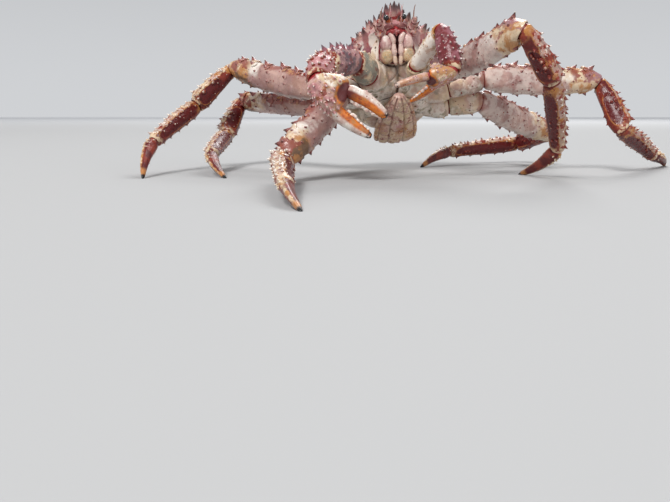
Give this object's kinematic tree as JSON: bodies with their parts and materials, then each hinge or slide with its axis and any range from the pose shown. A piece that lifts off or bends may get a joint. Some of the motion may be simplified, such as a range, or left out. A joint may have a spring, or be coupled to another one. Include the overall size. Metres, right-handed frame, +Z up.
{
  "type": "red king crab model",
  "caption": "Life-size still model of a red king crab in a nose-up stance, spiny shell, claws before its mouth, resting on its toes.",
  "frame": {"origin": "middle of the box round the whole model, at the floor that its toes rest on", "axes": "+Z up; the crab faces -Y; +X to its own left, which is the picture's right"},
  "size_m": [0.6773, 0.5329, 0.1995],
  "materials": {
    "back_shell": "glossy wet shell, pink red with grey purple spine tips",
    "underside": "satin shell, cream to grey green with small dark spots",
    "eye": "glossy black cornea",
    "jaw_shell": "glossy shell, lilac white over yellow",
    "claw_shell": "glossy shell, cream and orange",
    "arm_shell": "glossy shell, maroon and cream",
    "thigh_shell": "glossy shell, pinkish white with dark red spots",
    "shin_shell": "glossy shell, dark maroon with golden cream ridges",
    "toe_horn": "glossy horn, dark brown with amber tips"
  },
  "bodies": {
    "root": {"abdomen": "underside", "antenna_left": "back_shell", "antenna_right": "back_shell", "carapace": "back_shell", "claw_left_carpus": "arm_shell", "claw_left_dactylus": "claw_shell", "claw_left_ischium": "arm_shell", "claw_left_merus": "arm_shell", "claw_left_propodus": "claw_shell", "claw_right_carpus": "arm_shell", "claw_right_dactylus": "claw_shell", "claw_right_ischium": "arm_shell", "claw_right_merus": "arm_shell", "claw_right_propodus": "claw_shell", "eye_left": "eye", "eye_right": "eye", "jaw_foot_left": "jaw_shell", "jaw_foot_right": "jaw_shell", "leg_left_1_carpus": "shin_shell", "leg_left_1_dactylus": "toe_horn", "leg_left_1_ischium": "thigh_shell", "leg_left_1_merus": "thigh_shell", "leg_left_1_propodus": "shin_shell", "leg_left_2_carpus": "shin_shell", "leg_left_2_dactylus": "toe_horn", "leg_left_2_ischium": "thigh_shell", "leg_left_2_merus": "thigh_shell", "leg_left_2_propodus": "shin_shell", "leg_left_3_carpus": "shin_shell", "leg_left_3_dactylus": "toe_horn", "leg_left_3_ischium": "thigh_shell", "leg_left_3_merus": "thigh_shell", "leg_left_3_propodus": "shin_shell", "leg_right_1_carpus": "shin_shell", "leg_right_1_dactylus": "toe_horn", "leg_right_1_ischium": "thigh_shell", "leg_right_1_merus": "thigh_shell", "leg_right_1_propodus": "shin_shell", "leg_right_2_carpus": "shin_shell", "leg_right_2_dactylus": "toe_horn", "leg_right_2_ischium": "thigh_shell", "leg_right_2_merus": "thigh_shell", "leg_right_2_propodus": "shin_shell", "leg_right_3_carpus": "shin_shell", "leg_right_3_dactylus": "toe_horn", "leg_right_3_ischium": "thigh_shell", "leg_right_3_merus": "thigh_shell", "leg_right_3_propodus": "shin_shell", "underbody": "underside"}
  },
  "joints": []
}
